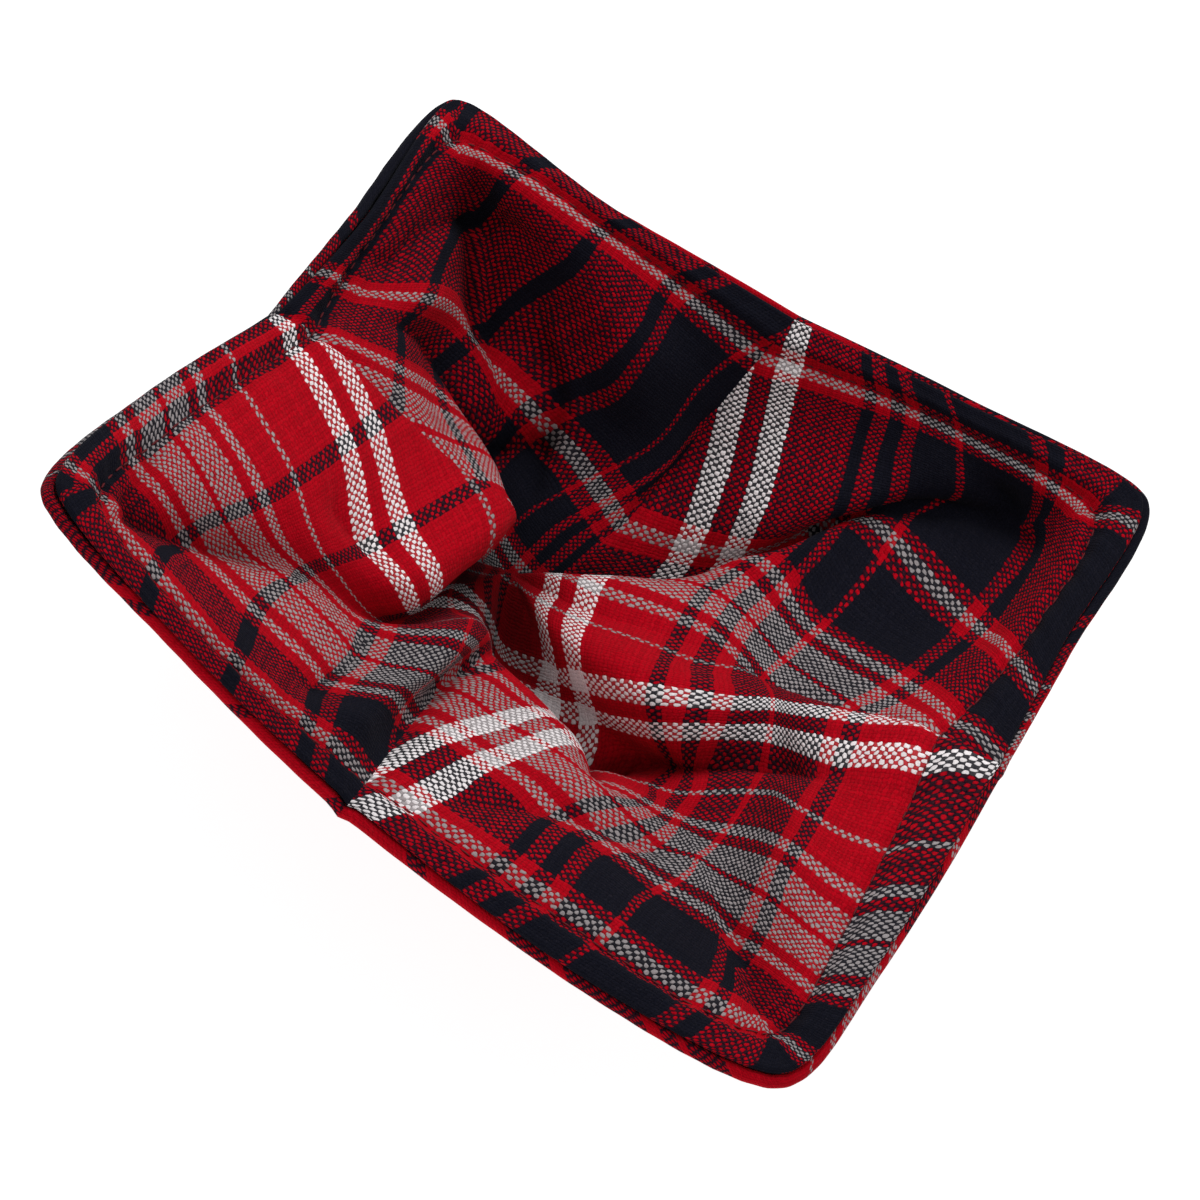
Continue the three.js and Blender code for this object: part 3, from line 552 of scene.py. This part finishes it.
def plaidMaterial(name, p):
    material = bpy.data.materials.new(name)
    material.use_nodes = True
    tree = material.node_tree
    tree.nodes.clear()

    def calc(operation, a, b=0.0, c=0.0):
        return addNode(tree, "ShaderNodeMath", {"operation": operation}, _0=a, _1=b, _2=c).outputs[0]

    place = addNode(tree, "ShaderNodeUVMap", {"uv_map": "Cloth"}).outputs[0]
    uneven = {}
    for word, (size, reach) in (("wander", p["wander"]), ("shiver", p["shiver"])):
        field = addNode(tree, "ShaderNodeTexNoise", {"noise_dimensions": "2D"},
                        Vector=place, Scale=1 / size, Detail=1.0).outputs["Color"]
        uneven[word] = addNode(tree, "ShaderNodeVectorMath", {"operation": "MULTIPLY_ADD"},
                               _0=field, _1=(2 * reach,) * 3, _2=(-reach,) * 3).outputs[0]
    shifted = addNode(tree, "ShaderNodeVectorMath", {"operation": "ADD"},
                      _0=uneven["wander"], _1=uneven["shiver"]).outputs[0]
    shift = addNode(tree, "ShaderNodeSeparateXYZ", Vector=shifted)
    split = addNode(tree, "ShaderNodeSeparateXYZ", Vector=place)

    yarn = {}
    for word, axis in (("warp", 0), ("weft", 1)):
        start, pitch = p[word + "AtZero"], p[word + "Pitch"]
        threads = calc("MULTIPLY_ADD", split.outputs[axis], 1 / pitch, start)
        position = calc("ADD", threads, shift.outputs[axis])
        number = calc("FLOOR", position)
        bands = [(b[0], int(b[1:])) for b in p[word].split()]
        total = sum(count for _, count in bands)
        inChart = calc("ADD", calc("FLOORED_MODULO", number, float(total)), 0.5)
        # the chart is cut into ramps short enough to keep its threads apart
        groups, begin = [], 0
        for letter, count in bands:
            if not groups or groups[-1]["length"] + count > p["rampThreads"]:
                groups.append({"begin": begin, "length": 0, "bands": []})
            groups[-1]["bands"].append((letter, groups[-1]["length"]))
            groups[-1]["length"] += count
            begin += count
        colour = thickness = None
        for g in groups:
            share = calc("DIVIDE", calc("SUBTRACT", inChart, float(g["begin"])), float(g["length"]))
            ramp = addNode(tree, "ShaderNodeValToRGB", Fac=share)
            ramp.color_ramp.interpolation = "CONSTANT"
            stops = ramp.color_ramp.elements
            while len(stops) < len(g["bands"]):
                stops.new(1.0)
            for stop, (letter, at) in zip(stops, g["bands"]):
                stop.position = at / g["length"]
            for stop, (letter, at) in zip(stops, g["bands"]):
                hexColour, thick = p["yarns"][letter]
                stop.color = (*toLinear(hexColour)[:3], thick / 2)
            if colour is None:
                colour, thickness = ramp.outputs
            else:
                past = calc("GREATER_THAN", inChart, float(g["begin"]))
                colour = addNode(tree, "ShaderNodeMix", {"data_type": "RGBA"},
                                 _0=past, _6=colour, _7=ramp.outputs[0]).outputs[2]
                thickness = addNode(tree, "ShaderNodeMix", {"data_type": "FLOAT"},
                                    _0=past, _2=thickness, _3=ramp.outputs[1]).outputs[0]
        random = addNode(tree, "ShaderNodeTexWhiteNoise", {"noise_dimensions": "1D"},
                         W=calc("ADD", number, 37.0 * (axis + 1))).outputs["Value"]
        yarn[word] = {"position": position, "number": number, "colour": colour, "thickness": thickness,
                      "random": random}

    height = {}
    for word, other, sign in (("warp", "weft", 1.0), ("weft", "warp", -1.0)):
        own, cross = yarn[word], yarn[other]
        across = calc("SUBTRACT", calc("FRACT", own["position"]), 0.5)
        # slubs: some threads are thicker than their neighbours
        fullness = calc("MULTIPLY", own["thickness"], calc("MULTIPLY_ADD", own["random"], *p["slub"]))
        dome = calc("SQRT", calc("MAXIMUM", calc(
            "MULTIPLY_ADD", calc("MULTIPLY", across, across), -3.9, 1.0), 0.0))
        wave = calc("COSINE", calc("MULTIPLY", calc("SUBTRACT", cross["position"], 0.5), math.pi))
        side = calc("COSINE", calc("MULTIPLY", own["number"], math.pi))
        arch = calc("MULTIPLY", calc("MULTIPLY", wave, side), sign * p["arch"])
        height[word] = calc("MULTIPLY", calc("MULTIPLY_ADD", dome, p["roundness"], arch), fullness)
    fibre = addNode(tree, "ShaderNodeTexNoise", {"noise_dimensions": "2D"},
                    Vector=place, Scale=p["fibre"][0], Detail=p["fibre"][1],
                    Roughness=p["fibre"][2]).outputs["Fac"]
    crossing = addNode(tree, "ShaderNodeCombineXYZ", X=yarn["warp"]["number"], Y=yarn["weft"]["number"])
    floatRandom = addNode(tree, "ShaderNodeTexWhiteNoise", {"noise_dimensions": "2D"},
                          Vector=crossing.outputs[0])
    floatSize = calc("MULTIPLY", calc("SUBTRACT", floatRandom.outputs["Value"], 0.5), p["uneven"])
    ragged = calc("MULTIPLY_ADD", calc("SUBTRACT", fibre, 0.5), p["fray"], calc(
        "ADD", floatSize, calc("SUBTRACT", height["warp"], height["weft"])))
    onTop = addNode(tree, "ShaderNodeMapRange", {"interpolation_type": "SMOOTHSTEP"}, Value=ragged,
                    _1=-p["blur"], _2=p["blur"], _3=p["fuzz"], _4=1 - p["fuzz"]).outputs[0]
    top = calc("MAXIMUM", height["warp"], height["weft"])
    threadColour = addNode(tree, "ShaderNodeMix", {"data_type": "RGBA"}, _0=onTop,
                           _6=yarn["weft"]["colour"], _7=yarn["warp"]["colour"]).outputs[2]
    threadShade = addNode(tree, "ShaderNodeMix", {"data_type": "FLOAT"}, _0=onTop,
                          _2=yarn["weft"]["random"], _3=yarn["warp"]["random"]).outputs[0]
    raised = addNode(tree, "ShaderNodeMapRange", {"interpolation_type": "SMOOTHSTEP"},
                     Value=calc("MULTIPLY_ADD", calc("SUBTRACT", fibre, 0.5), 0.5, top),
                     _1=p["gap"][0], _2=p["gap"][1]).outputs[0]
    shade = calc("MULTIPLY_ADD", threadShade, *p["threadShade"])
    shade = calc("MULTIPLY", shade, calc("MULTIPLY_ADD", fibre, *p["fibreShade"]))
    # painted shade: the colour is darkened where the mesh marks a crease or the deep middle
    paintedShadeFac = addNode(tree, "ShaderNodeAttribute", {"attribute_name": "PaintedCreaseShade"}).outputs["Fac"]
    shade = calc("MULTIPLY", shade, calc("MULTIPLY_ADD", paintedShadeFac, -p["paintedShadeStrength"], 1.0))
    nap = addNode(tree, "ShaderNodeTexNoise", {"noise_dimensions": "2D"}, Vector=place,
                  Scale=1 / p["napFibre"], Detail=2.0, Roughness=0.6, Distortion=1.5).outputs["Fac"]
    haze = addNode(tree, "ShaderNodeMapRange", Value=nap,
                   _1=0.35, _2=0.7, _3=p["nap"][0], _4=p["nap"][1]).outputs[0]
    bothYarns = addNode(tree, "ShaderNodeMix", {"data_type": "RGBA"}, _0=0.5,
                        _6=yarn["weft"]["colour"], _7=yarn["warp"]["colour"]).outputs[2]
    brushed = addNode(tree, "ShaderNodeMix", {"data_type": "RGBA"}, _0=haze,
                      _6=threadColour, _7=bothYarns).outputs[2]
    # down between the threads only the darker yarn of the two is seen, in its own shadow
    darker = addNode(tree, "ShaderNodeVectorMath", {"operation": "MINIMUM"},
                     _0=yarn["weft"]["colour"], _1=yarn["warp"]["colour"]).outputs[0]
    gapColour = addNode(tree, "ShaderNodeVectorMath", {"operation": "SCALE"},
                        _0=darker, Scale=p["gap"][2]).outputs[0]
    lit = addNode(tree, "ShaderNodeMix", {"data_type": "RGBA"},
                  _0=raised, _6=gapColour, _7=brushed).outputs[2]
    grain, detail, roughness, distortion = p["speck"]
    speck = addNode(tree, "ShaderNodeTexNoise", {"noise_dimensions": "2D"}, Vector=place, Scale=grain,
                    Detail=detail, Roughness=roughness, Distortion=distortion).outputs["Fac"]
    lint = addNode(tree, "ShaderNodeMapRange", {"interpolation_type": "SMOOTHSTEP"},
                   Value=speck, _1=0.5, _2=0.78, _4=p["lint"][1]).outputs[0]
    linted = addNode(tree, "ShaderNodeMix", {"data_type": "RGBA"}, _0=lint,
                     _6=lit, _7=toLinear(p["lint"][0])).outputs[2]
    colour = addNode(tree, "ShaderNodeVectorMath", {"operation": "SCALE"}, _0=linted, Scale=shade).outputs[0]
    soft = addNode(tree, "ShaderNodeTexNoise", {"noise_dimensions": "2D"},
                   Vector=place, Scale=1 / p["padding"][0], Detail=2.0, Roughness=0.55).outputs["Fac"]
    bumpHeight = calc("MULTIPLY_ADD", soft, 2 * p["padding"][1] / p["bumpHeight"],
                      calc("MULTIPLY_ADD", fibre, 0.3, top))
    bump = addNode(tree, "ShaderNodeBump", Height=bumpHeight, Strength=0.7, Distance=p["bumpHeight"] * mm)
    shader = addNode(tree, "ShaderNodeBsdfPrincipled", {"name": "cloth"},
                     **{"Base Color": colour, "Roughness": 0.92, "IOR": 1.45, "Specular IOR Level": 0.04,
                        "Sheen Weight": 0.015, "Sheen Roughness": 0.45, "Normal": bump.outputs[0]})
    addNode(tree, "ShaderNodeOutputMaterial", Surface=shader.outputs[0])
    return material


# The outer panel has the same yarns in an order made up for it: red along the near edge, navy along the
# far one. Only its rolled edge shows in the photo, so the rest of its chart is a guess.
outerPlaid = {
    **plaid,
    "warpAtZero": 117.8, "weftAtZero": 167.0,
    "warp": "n8 r4 n4 r26 n4 r24 n4 r24 n4 r24 n4 r24 n4 r18 n10 r4 n18 r4 n4 r2 n10 r4 r22 n31",
    "weft": "r24 g2 r11 g4 r4 g10 r2 g11 r4 g4 r4 n19 r4 g4 r4 n50 r4 g4 r4 n19 r4 g4 r4 g11 r2 g10 r4 g4"
            " r11 g2 r18 n6 r5 n46",
}
innerPiece.data.materials.append(plaidMaterial("brushedPlaidCotton", plaid))
outerPiece.data.materials.append(plaidMaterial("brushedPlaidCottonOutside", outerPlaid))
print("cloth material made")

# stitches
# One row of lockstitch round the rim, in the groove that shows on the inside. The stitches can't be
# made out in the photo: their length and the dark red spun polyester thread are assumed.
topstitch = {
    "inset": 9.0, "insideLift": 0.05, "outsideLift": 0.12,  # mm in from the sewn edge, and up from the cloth
    "length": 2.7, "gap": 0.8, "thread": 0.5, "ply": 0.25,  # mm
    "colour": "#5A0812", "plyShade": (0.9, 0.55),  # how much lighter a ply's crown is, and its dark side
}


def threadMaterial(p):
    material = bpy.data.materials.new("spunPolyesterThread")
    material.use_nodes = True
    tree = material.node_tree
    shader = tree.nodes["Principled BSDF"]
    place = addNode(tree, "ShaderNodeTexCoord").outputs["Object"]
    ply = addNode(tree, "ShaderNodeTexNoise", Vector=place, Scale=1 / (p["ply"] * mm),
                  Detail=2.0).outputs["Fac"]
    light = addNode(tree, "ShaderNodeMath", {"operation": "MULTIPLY_ADD"},
                    _0=ply, _1=p["plyShade"][0], _2=p["plyShade"][1]).outputs[0]
    colour = addNode(tree, "ShaderNodeVectorMath", {"operation": "SCALE"},
                     _0=toLinear(p["colour"])[:3], Scale=light).outputs[0]
    tree.links.new(colour, shader.inputs["Base Color"])
    shader.inputs["Roughness"].default_value = 0.6
    shader.inputs["IOR"].default_value = 1.54
    shader.inputs["Specular IOR Level"].default_value = 0.2
    return material


def stitchTree():
    tree = bpy.data.node_groups.new("stitchRow", "GeometryNodeTree")
    for name, kind, way in (("Path", "Geometry", "INPUT"), ("Stitch Length", "Float", "INPUT"),
                            ("Gap", "Float", "INPUT"), ("Thread", "Float", "INPUT"),
                            ("Material", "Material", "INPUT"), ("Stitches", "Geometry", "OUTPUT")):
        tree.interface.new_socket(name, in_out=way, socket_type="NodeSocket" + kind)
    given = addNode(tree, "NodeGroupInput").outputs
    pitch = addNode(tree, "ShaderNodeMath", {"operation": "ADD"}, _0=given["Stitch Length"], _1=given["Gap"])
    path = addNode(tree, "GeometryNodeMeshToCurve", Mesh=given["Path"]).outputs[0]
    row = addNode(tree, "GeometryNodeResampleCurve", {"mode": "LENGTH"}, Curve=path, Length=pitch.outputs[0])
    ball = addNode(tree, "GeometryNodeMeshUVSphere", Segments=8, Rings=7, Radius=0.5).outputs["Mesh"]
    size = addNode(tree, "ShaderNodeCombineXYZ",
                   X=given["Stitch Length"], Y=given["Thread"], Z=given["Thread"])
    stitch = addNode(tree, "GeometryNodeTransform", Geometry=ball, Scale=size.outputs[0]).outputs[0]
    turn = addNode(tree, "FunctionNodeAlignRotationToVector", {"axis": "X"},
                   Vector=addNode(tree, "GeometryNodeInputTangent").outputs[0]).outputs[0]
    placed = addNode(tree, "GeometryNodeInstanceOnPoints",
                     Points=row.outputs[0], Instance=stitch, Rotation=turn)
    real = addNode(tree, "GeometryNodeRealizeInstances", Geometry=placed.outputs[0]).outputs[0]
    smooth = addNode(tree, "GeometryNodeSetShadeSmooth", Geometry=real).outputs[0]
    final = addNode(tree, "GeometryNodeSetMaterial", Geometry=smooth, Material=given["Material"]).outputs[0]
    addNode(tree, "NodeGroupOutput", Stitches=final)
    return tree


def rowOfStitches(name, surface, flats, middle, lift, p, tree, material):
    normals = gridNormals(surface, middle, 2)
    inset = rimInset(flats)
    path = np.array([[np.interp(p["inset"], inset[k], (surface[k] + normals[k] * lift)[:, axis])
                      for axis in range(3)] for k in range(len(surface))])
    count = len(path)
    mesh = bpy.data.meshes.new(name + "Path")
    mesh.from_pydata((path + shapeShift) * mm, [(k, (k + 1) % count) for k in range(count)], [])
    holder = bpy.data.objects.new(name + "Path", mesh)
    bpy.context.scene.collection.objects.link(holder)
    modifier = holder.modifiers.new("stitches", "NODES")
    modifier.node_group = tree
    sockets = {item.name: item.identifier for item in tree.interface.items_tree}
    for socket, value in (("Stitch Length", p["length"] * mm), ("Gap", p["gap"] * mm),
                          ("Thread", p["thread"] * mm), ("Material", material)):
        modifier[sockets[socket]] = value
    made = bpy.data.meshes.new_from_object(holder.evaluated_get(bpy.context.evaluated_depsgraph_get()))
    bpy.data.objects.remove(holder)
    row = bpy.data.objects.new(name, made)
    bpy.context.scene.collection.objects.link(row)
    return row


stitches, thread = stitchTree(), threadMaterial(topstitch)
insideRow = rowOfStitches("topstitchInside", inner["face"], inner["flat"], inner["middle"],
                          topstitch["insideLift"], topstitch, stitches, thread)
outsideRow = rowOfStitches("topstitchOutside", outer["back"],
                           onCloth(inner["i"], inner["s"], outer["rings"]), outer["middle"],
                           -topstitch["outsideLift"], topstitch, stitches, thread)
print("stitches made,", len(insideRow.data.polygons) + len(outsideRow.data.polygons), "faces")

# floor and light
studio = {
    "floorSize": 6.0, "floorColour": "#8C8C8C", "floorGlow": 0.92, "skyColour": "#FFFFFF", "sky": 0.58,
    "lamps": {  # place and aim in m, size in m, watts
        "overhead": {"at": (-0.25, 0.55, 1.0), "aim": (0, 0, 0.04), "size": 0.6, "watts": 6.4},
    },
}


def makeStudio(p):
    half = p["floorSize"] / 2
    mesh = bpy.data.meshes.new("floor")
    corners = [(-half, -half, 0), (half, -half, 0), (half, half, 0), (-half, half, 0)]
    mesh.from_pydata(corners, [], [(0, 1, 2, 3)])
    floor = bpy.data.objects.new("floor", mesh)
    bpy.context.scene.collection.objects.link(floor)
    paper = bpy.data.materials.new("whitePaperSweep")
    paper.use_nodes = True
    shader = paper.node_tree.nodes["Principled BSDF"]
    shader.inputs["Base Color"].default_value = toLinear(p["floorColour"])
    shader.inputs["Roughness"].default_value = 0.9
    shader.inputs["Specular IOR Level"].default_value = 0.1
    # lit through from below, so that it stays white and takes little colour or shadow from the cloth
    shader.inputs["Emission Color"].default_value = toLinear("#FFFFFF")
    shader.inputs["Emission Strength"].default_value = p["floorGlow"]
    mesh.materials.append(paper)
    world = bpy.data.worlds.new("studioSky")
    world.use_nodes = True
    sky = world.node_tree.nodes["Background"]
    sky.inputs["Color"].default_value = toLinear(p["skyColour"])
    sky.inputs["Strength"].default_value = p["sky"]
    bpy.context.scene.world = world
    for name, lamp in p["lamps"].items():
        light = bpy.data.lights.new(name, "AREA")
        light.energy, light.size = lamp["watts"], lamp["size"]
        holder = bpy.data.objects.new(name, light)
        place = Vector(lamp["at"])
        holder.matrix_world = (Matrix.Translation(place)
                               @ (Vector(lamp["aim"]) - place).to_track_quat("-Z", "Y").to_matrix().to_4x4())
        bpy.context.scene.collection.objects.link(holder)
    bpy.context.scene.view_settings.view_transform = "Standard"


makeStudio(studio)
print("studio made")

# put the pieces under the root body and hide the CAD parts of the same panels
for piece, node, slot in ((innerPiece, "inner_panel", "inner_plaid"),
                          (outerPiece, "outer_panel", "outer_plaid")):
    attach(piece, "root")
    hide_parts(node)
for row, slot in ((insideRow, "inner_plaid"), (outsideRow, "outer_plaid")):
    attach(row, "root")
